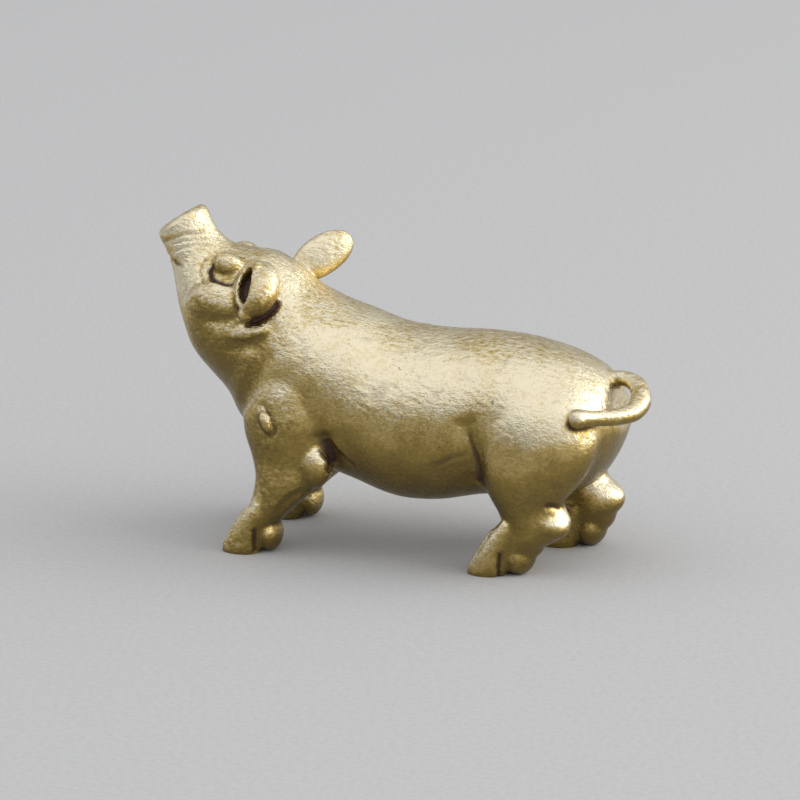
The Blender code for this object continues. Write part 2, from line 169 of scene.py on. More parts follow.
# Lumps on both sides: x and z on the side of the skin, how deep the middle sinks in on the left and on the
# right, the size, and how many degrees it leans.
LID = (-14.9, 24.4, 0.1, 0.9, (3.0, 2.0, 2.4), 24)
CHEEK = (-14.9, 21.1, 1.15, 1.15, (6.6, 3.2, 4.4), 10)
JOWL = (-12.0, 19.2, 1.15, 1.15, (5.4, 3.2, 2.1), -12)
ELBOW = (-5.8, 8.2, 1.0, 1.0, (3.3, 3.2, 4.3), 6)
# The point of the hock, and the height at which it is drawn back with the leg.
HOCK = {"x": 15.3, "y": 5.5, "z": 4.75, "size": (3.8, 3.4, 2.7), "lean": 14, "drawn_at": 4.9}
# The drop on the left shoulder.
DROP = {"x": -9.65, "z": 12.0, "size": (1.0, 0.9, 2.1), "lean": -22}
# The folded left ear: middle and half sizes of its egg, the way the leaf hangs and the way its hollow faces.
# Its pocket is cut by two balls, a slot and a cave behind it. The rim curls round the pocket: points along the
# leaf and across it, and shares of the thickness.
FOLDED_EAR = {
    "middle": (-11.45, -4.6, 23.0), "half": (2.6, 2.1, 1.5),
    "direction": (0.3, -3.3, -4.0), "facing": (-0.16, -0.95, 0.0),
    "slot": (3.7, 1.75, 3.1), "cave": (3.2, 2.2, 1.7), "tip": (1.5, 1.4, 1.2),
    "rim": [(1.6, -1.55), (0.0, -1.95), (-1.2, -1.75), (-2.0, -1.1), (-2.25, -0.35), (-1.9, 0.3),
            (-1.2, 0.45)],
    "rim_shares": (0.55, 0.7, 0.9, 1.0, 1.0, 1.0, 0.9),
}
# The raised right ear: its root in the head, the way the leaf points and the way its hollow faces, the sizes
# of the leaf and of the hollow, and the middle of the part that fingers hold.
RAISED_EAR = {
    "root": (-11.0, 2.85, 22.7), "direction": (0.71, 0.5, 0.5), "facing": (-0.5, 0.8, -0.3),
    "leaf": (6.3, 3.6, 1.6), "hollow": (4.4, 2.2, 1.4), "grip": (-8.2, 4.8, 24.7),
}


# Forms

def spline(rows, count):
    """A Catmull-Rom curve through the rows, sampled evenly along its length: the cubic of four neighbouring
    rows.
    """
    rows = np.asarray(rows, float)
    padded = np.vstack([2 * rows[0] - rows[1], rows, 2 * rows[-1] - rows[-2]])
    steps = np.linalg.norm(np.diff(rows[:, :4], axis=0), axis=1)
    reach = np.concatenate([[0.0], np.cumsum(steps)])
    place = np.interp(np.linspace(0.0, reach[-1], count), reach, np.arange(len(rows)))
    index = np.minimum(place.astype(int), len(rows) - 2)
    part = (place - index)[:, None]
    before, start, end, after = padded[index], padded[index + 1], padded[index + 2], padded[index + 3]
    return 0.5 * (2 * start + (end - before) * part
                  + (2 * before - 5 * start + 4 * end - after) * part ** 2
                  + (3 * start - before - 3 * end + after) * part ** 3)


def closed(grid):
    """Points and triangles of a grid of rings, closed by a fan from the middle of the first and the last
    ring.
    """
    rings, around = grid.shape[:2]
    first = np.arange(rings - 1)[:, None] * around
    here = np.arange(around)
    there = (here + 1) % around
    a, b = first + here, first + there
    quads = np.stack([a, b, b + around, a + around], -1).reshape(-1, 4)
    triangles = np.concatenate([quads[:, [0, 1, 2]], quads[:, [0, 2, 3]]])
    points = np.vstack([grid.reshape(-1, 3), grid[0].mean(0), grid[-1].mean(0)])
    low, high = np.full(around, rings * around), np.full(around, rings * around + 1)
    last = (rings - 1) * around
    caps = np.concatenate([np.stack([low, there, here], -1), np.stack([high, last + here, last + there], -1)])
    triangles = np.concatenate([triangles, caps])
    corners = points[triangles]
    volume = np.einsum("ij,ij->", corners[:, 0], np.cross(corners[:, 1], corners[:, 2]))
    return points, triangles if volume > 0 else triangles[:, ::-1]


def loft(stations, middle_y, count, around=48):
    """Ellipses carried along a row of stations. At angle a the point lies at the middle of the station's two
    edge points, plus cos a times half the way between them, plus sin a times the half width along y, less its
    taper.
    """
    rows = spline(stations, count)
    angle = np.linspace(0.0, 2 * math.pi, around, endpoint=False)
    cos, sin = np.cos(angle)[None, :], np.sin(angle)[None, :]
    ax, az, bx, bz, offset, half, taper = (column[:, None] for column in rows.T)
    x = (ax + bx) / 2 + (ax - bx) / 2 * cos
    z = (az + bz) / 2 + (az - bz) / 2 * cos
    y = middle_y + offset + half * sin * (1 - taper * cos)
    return closed(np.stack([x, y, z], -1))


def ball(centre, size, turn=np.eye(3)):
    """An ellipsoid: the unit sphere over latitude and longitude, stretched to its size, turned and moved."""
    down = np.linspace(0.0, math.pi, 26)[1:-1, None]
    turn_round = np.linspace(0.0, 2 * math.pi, 40, endpoint=False)[None, :]
    unit = np.stack([np.sin(down) * np.cos(turn_round), np.sin(down) * np.sin(turn_round),
                     np.cos(down) + 0 * turn_round], -1)
    return closed((unit * np.array(size) / 2) @ np.array(turn).T + np.array(centre))


def turned(axis, degrees):
    """The matrix that turns by an angle about an axis, by Rodrigues' formula."""
    x, y, z = np.array(axis, float) / np.linalg.norm(axis)
    cross = np.array([[0, -z, y], [z, 0, -x], [-y, x, 0]])
    angle = math.radians(degrees)
    return np.eye(3) + math.sin(angle) * cross + (1 - math.cos(angle)) * cross @ cross


def rod(points, thickness, count=90, around=24):
    """A circle carried along a smooth curve through the points, its radius the point's share of half the
    thickness, with half-sphere ends. The frame is set square to the curve against one fixed direction.
    """
    rows = spline([(*point, 0.0) if len(point) == 4 else point for point in points], count)
    centre, radius = rows[:, :3], rows[:, 3] * thickness / 2
    ends = np.sin(np.linspace(0.0, math.pi / 2, 8)[:-1])
    first, last = centre[0] - centre[1], centre[-1] - centre[-2]
    first, last = first / np.linalg.norm(first), last / np.linalg.norm(last)
    head = centre[0] + first * radius[0] * (1 - ends[:, None])
    foot = centre[-1] + last * radius[-1] * (1 - ends[::-1, None])
    fade = np.sqrt(np.maximum(1 - (1 - ends) ** 2, 1e-4))
    centre = np.vstack([head, centre, foot])
    radius = np.concatenate([radius[0] * fade, radius, radius[-1] * fade[::-1]])
    along = np.gradient(centre, axis=0)
    along /= np.linalg.norm(along, axis=1)[:, None]
    reference = np.array([0.13, 0.21, 0.97])
    side = np.cross(along, reference)
    side /= np.linalg.norm(side, axis=1)[:, None]
    out = np.cross(along, side)
    angle = np.linspace(0.0, 2 * math.pi, around, endpoint=False)[None, :, None]
    ring = np.cos(angle) * side[:, None] + np.sin(angle) * out[:, None]
    return closed(centre[:, None] + radius[:, None, None] * ring)


def leaf_axes(direction, facing):
    """Three axes of an ear: along the leaf, across it and out of its hollow."""
    along = np.array(direction, float) / np.linalg.norm(direction)
    across = np.cross(facing, along)
    across /= np.linalg.norm(across)
    return np.stack([along, across, np.cross(along, across)], -1)


def as_mesh(points, triangles, name):
    """Put the points, in millimetres, and the triangles into a mesh in metres."""
    mesh = bpy.data.meshes.new(name)
    mesh.vertices.add(len(points))
    mesh.vertices.foreach_set("co", (np.asarray(points) * MM).astype(np.float32).ravel())
    mesh.loops.add(3 * len(triangles))
    mesh.loops.foreach_set("vertex_index", np.asarray(triangles, np.int32).ravel())
    mesh.polygons.add(len(triangles))
    mesh.polygons.foreach_set("loop_start", np.arange(0, 3 * len(triangles), 3, dtype=np.int32))
    mesh.update(calc_edges=True)
    mesh.validate()
    return mesh


def joined(forms):
    """All the forms in one list of points and one of triangles."""
    counts = np.cumsum([0] + [len(points) for points, _ in forms])
    points = np.vstack([points for points, _ in forms])
    triangles = np.vstack([triangles + start for (_, triangles), start in zip(forms, counts)])
    return points, triangles


def arrays(mesh):
    """Points in millimetres and triangles of a mesh."""
    points = np.empty(3 * len(mesh.vertices), np.float32)
    mesh.vertices.foreach_get("co", points)
    mesh.calc_loop_triangles()
    triangles = np.empty(3 * len(mesh.loop_triangles), np.int32)
    mesh.loop_triangles.foreach_get("vertices", triangles)
    return points.reshape(-1, 3).astype(float) / MM, triangles.reshape(-1, 3)


def with_modifiers(points, triangles, *settings):
    """The points and triangles after a row of modifiers, each its type and its values."""
    mesh = as_mesh(points, triangles, "wax")
    wax = bpy.data.objects.new("wax", mesh)
    bpy.context.scene.collection.objects.link(wax)
    for kind, values in settings:
        modifier = wax.modifiers.new(kind.lower(), kind)
        for key, value in values.items():
            setattr(modifier, key, value)
    graph = bpy.context.evaluated_depsgraph_get()
    result = bpy.data.meshes.new_from_object(wax.evaluated_get(graph))
    bpy.data.objects.remove(wax)
    bpy.data.meshes.remove(mesh)
    found = arrays(result)
    bpy.data.meshes.remove(result)
    return found


def fused(forms, voxel, rounds):
    """Melt all the forms into one skin and soften it, like wax."""
    return with_modifiers(*joined(forms),
                          ("REMESH", {"mode": "VOXEL", "voxel_size": voxel * MM}),
                          ("SMOOTH", {"factor": 0.5, "iterations": rounds}))


# Working the skin

def normals(points, triangles):
    """Vertex normals: the sum of the cross products of the triangles round each vertex, made unit length."""
    a, b, c = points[triangles[:, 0]], points[triangles[:, 1]], points[triangles[:, 2]]
    cross = np.cross(b - a, c - a)
    total = np.stack([np.bincount(triangles.ravel(), np.repeat(cross[:, axis], 3), len(points))
                      for axis in range(3)], -1)
    return total / np.maximum(np.linalg.norm(total, axis=1), 1e-9)[:, None]


def links(triangles):
    """The two ends of every edge, each edge once in each direction."""
    pairs = np.concatenate([triangles[:, [0, 1]], triangles[:, [1, 2]], triangles[:, [2, 0]]])
    return np.concatenate([pairs, pairs[:, ::-1]])


def averaged(values, pairs, rounds):
    """Values on the vertices, each moved half way to the mean of its neighbours in every round."""
    count = np.bincount(pairs[:, 0], minlength=len(values)).astype(float)
    for _ in range(rounds):
        columns = [np.bincount(pairs[:, 0], column[pairs[:, 1]], len(values)) / count for column in values.T]
        values = 0.5 * values + 0.5 * np.stack(columns, -1)
    return values


def distance_to(points, path):
    """Distance from each point to a row of straight lines, and how far along the row its nearest place is,
    from 0 to 1.
    """
    path = np.asarray(path, float)
    lengths = np.linalg.norm(np.diff(path, axis=0), axis=1)
    starts = np.concatenate([[0.0], np.cumsum(lengths)])
    nearest = np.full(len(points), 1e9)
    place = np.zeros(len(points))
    for start, end, length, before in zip(path, path[1:], lengths, starts):
        span = end - start
        share = np.clip((points - start) @ span / (span @ span), 0.0, 1.0)
        gap = np.linalg.norm(points - start - share[:, None] * span, axis=1)
        closer = gap < nearest
        nearest[closer] = gap[closer]
        place[closer] = (before + share[closer] * length) / starts[-1]
    return nearest, place


def smooth_path(points, count=24):
    """A smooth curve through a few points, and a straight line between two."""
    if len(points) == 2:
        return np.asarray(points, float)
    return spline([(*point, 0.0) for point in points], count)[:, :3]


class Skin:
    """The pig's skin while it is worked: its points, triangles and the dark patina that gathers in its grooves,
    together with painted shade laid in the deeper grooves and gaps.
    """

    def __init__(self, points, triangles):
        self.points, self.triangles = points, triangles
        self.dirt = np.zeros(len(points))
        self.refresh()

    def refresh(self):
        """Renew the normals and the search tree after the points have moved."""
        self.normals = normals(self.points, self.triangles)
        self.tree = BVHTree.FromPolygons(self.points.tolist(), self.triangles.tolist())

    def seated(self, points):
        """Each point moved to the nearest place on the skin."""
        return np.array([self.tree.find_nearest(Vector(point))[0] for point in points])

    def groove(self, path, width, depth, lip=0.0, dirt=0.0, ends=0.15):
        """Press a groove along a path: each vertex sinks by the depth times a bell curve of its distance over
        the width, and a lip of a bell curve one and a half widths out rises beside it. Both fade out over the
        ends' share of the path. A negative depth raises a ridge. Darkening is laid along a bell curve of 0.8 of
        the width: patina in a crease, and painted shade in the deep grooves and gaps.
        """
        line = self.seated(smooth_path(path))
        gap, place = distance_to(self.points, line)
        fade = np.clip(np.minimum(place, 1 - place) / ends, 0.0, 1.0) if ends else 1.0
        fade = fade * fade * (3 - 2 * fade)
        bell = np.exp(-(gap / width) ** 2) * fade
        beside = np.exp(-((gap - 1.5 * width) / (0.7 * width)) ** 2) * fade
        self.points = self.points - self.normals * (depth * bell - lip * beside)[:, None]
        self.dirt = np.maximum(self.dirt, dirt * np.exp(-(gap / (0.8 * width)) ** 2) * fade)


def mirrored(points, side):
    """The same points on the given side, -1 for the left as they are drawn."""
    return [(x, -side * y, z) for x, y, z in points]


def waves(points, wavelength, count, seed, along=None, stretch=1.0):
    """A smooth random field: the sum of plane waves of random direction and phase, all of about one
    wavelength, over the root of half their number. Waves are lengthened along a direction by the stretch.
    """
    random = np.random.default_rng(seed)
    direction = random.normal(size=(count, 3))
    direction /= np.linalg.norm(direction, axis=1)[:, None]
    length = wavelength * random.uniform(0.75, 1.35, count)
    wave = direction * (2 * math.pi / length)[:, None]
    if along is not None:
        along = np.array(along, float) / np.linalg.norm(along)
        part = wave @ along
        wave = wave - part[:, None] * along * (1 - 1 / stretch)
    phase = random.uniform(0, 2 * math.pi, count)
    total = np.zeros(len(points))
    for k, p in zip(wave, phase):
        total += np.cos(points @ k + p)
    return total / math.sqrt(count / 2)


def step(values, low, high):
    """0 below the low value, 1 above the high one, and a smooth S between them."""
    share = np.clip((values - low) / (high - low), 0.0, 1.0)
    return share * share * (3 - 2 * share)


# The pig

def drawn_back(height):
    """How far a set-back foot draws the leg with it at a height: 1 at the foot and 0 above the knee."""
    return min(1.0, max(0.0, 1.0 - (height - STEP_FOOT) / (STEP_TOP - STEP_FOOT)))


def masses():
    """Body and legs, fused and well softened so that shoulders and thighs run into the flanks."""
    rows = [(ax, az, bx, bz, 0.0, share * BODY_WIDTH / 2, taper) for ax, az, bx, bz, share, taper in BODY]
    rows += [(ax, az, bx, bz, 0.0, share * SNOUT_DISC / 2, taper) for ax, az, bx, bz, share, taper in SNOUT]
    forms = [loft(rows, 0.0, 110, 56)]
    for stations, _, _, foot_y, step_back in LEGS:
        leg = []
        for ax, az, bx, bz, inset, half in stations:
            back = step_back * drawn_back((az + bz) / 2)
            leg.append((ax + back, az, bx + back, bz, -math.copysign(inset, foot_y), half, 0.0))
        forms.append(loft(leg, foot_y, 60))
    return fused(forms, MASS_VOXEL, MASS_SOFTENING)


def hooves():
    """A heel lobe and two toes for each foot, and the pastern of each hind foot."""
    forms = []
    for _, tip, heel, foot_y, step_back in LEGS:
        x = tip + step_back
        back, height, size = heel
        forms.append(ball((x + back, foot_y, height), size))
        for half in (-0.5, 0.5):
            toe = [(x + ax, az, x + bx, bz, 0.0, share * TOE_WIDTH / 2, 0.0) for ax, az, bx, bz, share in TOE]
            forms.append(loft(toe, foot_y + half * TOE_SPREAD, 24, 28))
        if heel is HIND_HEEL:
            back, height, size = PASTERN
            forms.append(ball((x + back, foot_y, height), size))
    return forms


def outermost(tree, x, z, side):
    """The outermost point of the skin at x, z on one side."""
    return np.array(tree.ray_cast(Vector((x, side * 30.0, z)), Vector((0.0, -side, 0.0)))[0])


def face_and_joints(tree):
    """Lids, cheeks, jowls, elbows and hocks on both sides, and the drop on the left shoulder. Each is a ball,
    and all but the hocks sit on the skin.
    """
    forms = []
    across = (0, 1, 0)
    for side in (-1, 1):
        for x, z, left_sink, right_sink, size, lean in (LID, CHEEK, JOWL, ELBOW):
            sink = left_sink if side < 0 else right_sink
            seat = outermost(tree, x, z, side) - np.array([0.0, side * sink, 0.0])
            forms.append(ball(seat, size, turned(across, lean)))
        back = RIGHT_HIND_STEP_BACK * drawn_back(HOCK["drawn_at"]) if side > 0 else 0.0
        place = (HOCK["x"] + back, side * HOCK["y"], HOCK["z"])
        forms.append(ball(place, HOCK["size"], turned(across, HOCK["lean"])))
    forms.append(ball(outermost(tree, DROP["x"], DROP["z"], -1), DROP["size"], turned(across, DROP["lean"])))
    return forms


def hollowed(outer, cutters):
    """The outer form with the cutters taken out of it."""
    made = []
    for points, triangles in [outer] + cutters:
        made.append(bpy.data.objects.new("cut", as_mesh(points, triangles, "cut")))
        bpy.context.scene.collection.objects.link(made[-1])
    for cutter in made[1:]:
        cut = made[0].modifiers.new("cut", "BOOLEAN")
        cut.operation = "DIFFERENCE"
        cut.object = cutter
    graph = bpy.context.evaluated_depsgraph_get()
    found = arrays(bpy.data.meshes.new_from_object(made[0].evaluated_get(graph)))
    for used in made:
        bpy.data.objects.remove(used)
    return found


def folded_ear():
    """The left ear: an egg-shaped shell with a pocket open to the front, a rod curled along the pocket's edge
    at the height of the egg there, and a small tip.
    """
    middle, half = np.array(FOLDED_EAR["middle"]), np.array(FOLDED_EAR["half"])
    axes = leaf_axes(FOLDED_EAR["direction"], FOLDED_EAR["facing"])
    along, across, out = axes.T
    opening = 0.94 * out - 0.35 * across
    pocket = np.stack([along, np.cross(opening, along), opening], -1)
    shell = hollowed(ball(middle, 2 * half, axes), [
        ball(middle - across * 0.75 + out * 1.3 + along * 0.1, FOLDED_EAR["slot"], pocket),
        ball(middle - across * 0.4 + out * 0.2, FOLDED_EAR["cave"], pocket)])
    rim = np.array(FOLDED_EAR["rim"])
    height = half[2] * np.sqrt(np.maximum(1 - (rim[:, 0] / half[0]) ** 2 - (rim[:, 1] / half[1]) ** 2, 0.0))
    curl = [(*(middle + along * a + across * c + out * o), share)
            for (a, c), o, share in zip(rim, height, FOLDED_EAR["rim_shares"])]
    tip = ball(middle + along * 2.4 - across * 0.75, FOLDED_EAR["tip"], axes)
    return [shell, rod(curl, EAR_RIM), tip]


def raised_ear():
    """The right ear: a flat ball that stands out of the head from its root, hollowed by a second ball."""
    axes = leaf_axes(RAISED_EAR["direction"], RAISED_EAR["facing"])
    along, _, out = axes.T
    middle = np.array(RAISED_EAR["root"]) + along * RAISED_EAR["leaf"][0] / 2
    leaf = ball(middle, RAISED_EAR["leaf"], axes)
    return hollowed(leaf, [ball(middle + along * 0.3 + out * 0.85, RAISED_EAR["hollow"], axes)])


def cut_flat(points, triangles):
    """Cut the soles flat on the plane z = 0 and close them."""
    shape = bmesh.new()
    shape.from_mesh(as_mesh(points, triangles, "cut"))
    everything = shape.verts[:] + shape.edges[:] + shape.faces[:]
    cut = bmesh.ops.bisect_plane(shape, geom=everything, dist=1e-7, plane_co=(0, 0, 0), plane_no=(0, 0, 1),
                                 clear_inner=True)["geom_cut"]
    bmesh.ops.holes_fill(shape, edges=[item for item in cut if isinstance(item, bmesh.types.BMEdge)])
    bmesh.ops.triangulate(shape, faces=shape.faces[:])
    mesh = bpy.data.meshes.new("cut")
    shape.to_mesh(mesh)
    shape.free()
    return arrays(mesh)


# Grooves of the face and body, drawn on the left side: points, width, depth, lip, darkening. The darkening is
# patina in the creases and painted shade where it is strong, as round the lid, in the armpit and along the
# flank crease.
FACE_GROOVES = [
    ([(-21.3, -1.0, 26.0), (-20.4, -2.1, 26.3), (-19.3, -2.2, 26.7), (-18.0, -1.8, 26.9),
      (-17.2, -0.8, 27.1)], 0.24, 0.09, 0.03, 0.55),
    ([(-20.3, -2.0, 25.8), (-19.0, -2.2, 26.2), (-17.9, -1.9, 26.4), (-17.1, -1.2, 26.6)],
     0.22, 0.08, 0.03, 0.5),
    ([(-20.1, -2.0, 25.2), (-18.7, -2.3, 25.7), (-17.7, -2.1, 26.0), (-16.7, -1.4, 26.1)],
     0.22, 0.07, 0.02, 0.45),
    ([(-15.7, -2.9, 25.7), (-16.4, -3.2, 24.8), (-16.2, -3.7, 23.8), (-15.5, -4.1, 23.1), (-14.5, -4.3, 22.9),
      (-13.6, -4.3, 23.2)], 0.26, 0.22, 0.0, 1.0),
    ([(-16.8, -2.0, 25.2), (-17.3, -2.9, 24.2), (-17.0, -3.6, 23.3), (-16.3, -4.2, 22.6),
      (-15.4, -4.5, 22.5)], 0.22, 0.1, 0.03, 0.45),
    ([(-17.3, -4.4, 21.9), (-16.2, -5.3, 20.7), (-15.1, -5.6, 20.2), (-14.0, -5.7, 20.2),
      (-12.9, -5.7, 20.6)], 0.6, 0.16, 0.0, 0.15),
    ([(-14.6, -5.4, 17.9), (-12.9, -5.7, 18.0), (-11.2, -5.8, 18.2), (-9.9, -5.6, 18.9)],
     0.6, 0.12, 0.03, 0.1),
    ([(-19.9, -2.1, 24.7), (-19.5, -2.0, 24.2), (-18.9, -2.7, 24.0)], 0.3, 0.14, 0.0, 0.7),
]
NOSTRIL = ([(-20.8, -0.8, 27.6), (-20.2, -1.05, 28.1)], 0.4, 0.6, 0.1, 1.0)
MOUTH = ([(-18.9, -2.7, 24.0), (-19.6, -2.3, 24.3), (-20.5, -1.7, 24.6), (-21.1, -0.9, 24.5),
          (-21.25, 0.0, 24.5), (-21.1, 0.9, 24.5), (-20.5, 1.7, 24.6), (-19.6, 2.3, 24.3), (-18.9, 2.7, 24.0)],
         0.25, 0.12, 0.03, 0.4)
# On the left side alone: the gap behind the folded ear, darkened as a painted shadow, painted shade in its
# pocket, which is not pressed in at all, the ring round the drop and the seat of the tail's end.
LEFT_GROOVES = [
    ([(-12.4, -5.6, 20.2), (-11.5, -5.4, 20.3), (-10.6, -5.1, 20.7), (-9.9, -4.6, 21.4), (-9.6, -4.0, 22.1)],
     0.3, 0.3, 0.0, 1.0),
    ([(-12.35, -3.6, 24.0), (-12.25, -4.5, 22.9), (-12.15, -5.2, 22.1)], 0.8, 0.0, 0.0, 1.0),
    ([(-10.6, -6.9, 12.7), (-10.5, -7.1, 12.2), (-9.9, -7.4, 11.1), (-9.2, -7.6, 10.7), (-8.8, -7.5, 11.2),
      (-9.1, -7.3, 12.2), (-9.9, -6.9, 13.3), (-10.5, -6.9, 13.2), (-10.6, -6.9, 12.7)],
     0.24, 0.12, 0.0, 0.5),
    ([(19.0, -6.5, 15.4), (17.7, -7.0, 15.3), (17.2, -7.2, 14.5), (17.6, -7.1, 13.7), (19.2, -6.4, 13.4)],
     0.28, 0.12, 0.0, 0.7),
]
BODY_GROOVES = [
    ([(-9.9, -5.6, 18.4), (-10.9, -5.9, 16.1), (-11.9, -5.5, 14.2), (-12.8, -4.7, 12.0)],
     0.9, 0.25, 0.04, 0.1),
    ([(7.9, -7.0, 14.2), (8.7, -6.9, 12.2), (9.0, -6.7, 10.5), (9.2, -6.3, 9.2), (9.1, -5.0, 7.4)],
     1.0, 0.3, 0.0, 0.05),
    ([(8.3, -7.0, 13.1), (8.7, -6.8, 11.8), (9.1, -6.6, 10.3), (9.2, -6.2, 9.2), (9.1, -5.0, 7.4)],
     0.3, 0.42, 0.04, 1.0),
    ([(-4.9, -6.9, 11.6), (-4.4, -6.5, 10.0), (-3.9, -6.0, 8.8), (-4.3, -5.6, 7.6)], 0.8, 0.3, 0.0, 0.15),
    ([(-4.7, -6.8, 10.7), (-4.3, -6.3, 9.8), (-4.1, -6.0, 8.9), (-4.4, -5.6, 7.9)], 0.32, 0.28, 0.0, 1.0),
    ([(-4.6, -6.7, 10.5), (-3.8, -6.3, 9.8), (-2.9, -6.0, 9.0), (-1.8, -5.9, 8.2)], 0.4, 0.12, 0.03, 0.35),
    ([(5.1, -7.0, 9.3), (6.0, -7.0, 9.6), (7.1, -7.0, 10.2), (8.2, -7.0, 10.5), (8.9, -6.8, 11.0)],
     0.3, 0.05, 0.02, 0.6),
    ([(-6.4, -6.7, 6.2), (-7.4, -7.0, 5.6), (-8.3, -7.0, 4.8), (-9.1, -6.8, 3.8)], 0.4, 0.12, 0.03, 0.25),
    ([(15.2, -7.0, 6.7), (15.9, -6.6, 6.6), (16.5, -5.7, 6.2)], 0.3, 0.16, 0.03, 0.6),
]
# The seam down the front of the outer toe, a ridge, and the notch between toe and heel lobe, drawn on the left
# fore and hind foot: points, and how far the right foot stands back.
SEAM_GROOVE = {"width": 0.17, "depth": -0.1, "dirt": 0.45}
# The notch's full darkening is painted shade.
NOTCH_GROOVE = {"width": 0.26, "depth": 0.3, "dirt": 1.0}
SEAMS = [
    ([(-11.8, -7.2, 4.0), (-12.5, -7.3, 3.1), (-13.2, -7.4, 1.9), (-13.7, -7.4, 0.7)], RIGHT_FORE_STEP_BACK),
    ([(10.5, -6.6, 4.0), (9.8, -6.8, 3.1), (9.1, -6.9, 1.9), (8.5, -6.9, 0.6)], RIGHT_HIND_STEP_BACK),
]
NOTCHES = [
    ([(-10.7, -7.7, 2.1), (-10.7, -7.6, 1.2), (-10.7, -7.4, 0.2)], RIGHT_FORE_STEP_BACK),
    ([(11.4, -7.1, 2.0), (11.3, -7.0, 1.2), (11.2, -6.8, 0.2)], RIGHT_HIND_STEP_BACK),
]


def carve(skin):
    """Press the folds, wrinkles and lines into both sides, then the mouth and what the left side alone has."""
    for side in (-1, 1):
        for points, *profile in FACE_GROOVES + BODY_GROOVES:
            skin.groove(mirrored(points, side), *profile)
        for paths, profile in ((SEAMS, SEAM_GROOVE), (NOTCHES, NOTCH_GROOVE)):
            for points, step_back in paths:
                moved = [(x + (step_back if side > 0 else 0.0), y, z) for x, y, z in points]
                skin.groove(mirrored(moved, side), **profile, ends=0)
        points, *profile = NOSTRIL
        skin.groove(mirrored(points, side), *profile, ends=0)
    for points, *profile in [MOUTH] + LEFT_GROOVES:
        skin.groove(points, *profile)
    skin.refresh()


def grain(skin):
    """The wax's unevenness, as random waves along the normals: broad dents of 4 mm, finer ones of 1.5 mm, and
    the strokes of the brush, 0.55 mm across and three times as long, where the skin looks up.
    """
    up = skin.normals[:, 2]
    broad = 0.014 * waves(skin.points, 4.0, 40, 1) + 0.004 * waves(skin.points, 1.5, 60, 2)
    strokes = waves(skin.points, 0.55, 70, 3, along=(1.0, 0.0, -0.45), stretch=3.0)
    rough = step(up + 0.25 * waves(skin.points, 5.0, 30, 4), 0.1, 0.7)
    skin.points = skin.points + skin.normals * (broad + 0.011 * strokes * rough)[:, None]
    skin.points[:, 2] = np.maximum(skin.points[:, 2], 0.0)
    skin.refresh()


def patina(points, triangles, dirt):
    """Three values from 0 to 1 on each vertex. Dark: the darkening pressed in with the grooves, plus how far
    the vertex lies below the smoothed skin, finely and broadly; the fine hollows hold patina, while the broad
    recesses and the strongest grooves are painted shade. Wear and painted light: how far the smoothed skin
    looks up, which paints the tops paler as painted light, plus how far the vertex stands proud of it, which is
    wear, less in the lowest parts as painted shade, and more on the snout and the raised ear, which are gripped
    and are also painted brighter. Brushed: how strongly the strokes of the wax brush show, most on the head,
    the neck and along the top of the back, and less where it is gripped.
    """
    pairs = links(triangles)
    normal = normals(points, triangles)
    fine = averaged(points, pairs, 6)
    broad = averaged(fine, pairs, 60)
    below_fine = np.einsum("ij,ij->i", fine - points, normal)
    below_broad = np.einsum("ij,ij->i", broad - points, normal)
    # Broad recesses are darkened here as painted shade; the fine hollows are patina.
    hidden = 3.5 * np.maximum(below_fine, 0.0) + 2.8 * np.maximum(below_broad - 0.05, 0.0)
    up = normals(fine, triangles)[:, 2]
    proud = np.clip(-below_broad / 0.3, -1.0, 1.0)
    forward, height = -points[:, 0], points[:, 2]
    from_ear = np.linalg.norm(points - RAISED_EAR["grip"], axis=1)
    held_and_painted_light = np.maximum(step(forward, 16.8, 18.6), 1 - step(from_ear, 3.2, 4.2))
    # Paler where the skin looks up and darker in the lowest parts: painted light and painted shade. The snout
    # and raised ear are also painted brighter.
    wear_and_painted_light = step(up, -0.45, 0.6) + 0.3 * proud - 0.12 * (1 - step(height, 1.0, 9.0)) + 0.35 * held_and_painted_light
    cloud = waves(points, 6.0, 30, 5)
    back = step(up + 0.12 * cloud, 0.7, 0.95)
    head = step(forward + 1.5 * cloud, 5.0, 12.0)
    brushed = (0.2 + 0.75 * back + 0.7 * head) * (1 - 0.5 * held_and_painted_light)
    return [np.clip(values, 0.0, 1.0) for values in (dirt + hidden, wear_and_painted_light, brushed)]


def set_in_box(points):
    """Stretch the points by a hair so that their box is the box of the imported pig."""
    low, high = points.min(0), points.max(0)
    box_low, box_high = (np.array(corner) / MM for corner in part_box("pig"))
    return box_low + (points - low) * (box_high - box_low) / (high - low)


def pig():
    """The whole casting as one mesh."""
    body = masses()
    tree = BVHTree.FromPolygons(body[0].tolist(), body[1].tolist())
    forms = [body] + hooves() + face_and_joints(tree) + folded_ear()
    forms += [raised_ear(), rod(TAIL, TAIL_THICKNESS)]
    points, triangles = cut_flat(*fused(forms, SKIN_VOXEL, SKIN_SOFTENING))
    skin = Skin(points, triangles)
    carve(skin)
    grain(skin)
    points, triangles, dirt = skin.points, skin.triangles, skin.dirt
    if len(triangles) > MOST_TRIANGLES:
        thinned = ("DECIMATE", {"ratio": MOST_TRIANGLES / len(triangles)})
        points, triangles = with_modifiers(points, triangles, thinned)
        hit = [skin.tree.find_nearest(Vector(point))[2] for point in points.tolist()]
        dirt = dirt[skin.triangles[hit]].mean(1)
    shades = patina(points, triangles, dirt)
    mesh = as_mesh(set_in_box(points), triangles, "pig_casting")
    mesh.shade_smooth()
    for name, values in zip(("dark", "wear_and_painted_light", "brushed"), shades):
        mesh.attributes.new(name, "FLOAT", "POINT").data.foreach_set("value", values.astype(np.float32))
    return bpy.data.objects.new("pig_casting", mesh)


# Finish

def colour(hex_value):
    """An sRGB hex colour as linear red, green, blue and alpha."""
    parts = [int(hex_value[index:index + 2], 16) / 255 for index in (1, 3, 5)]
    linear = [part / 12.92 if part <= 0.04045 else ((part + 0.055) / 1.055) ** 2.4 for part in parts]
    return (*linear, 1.0)


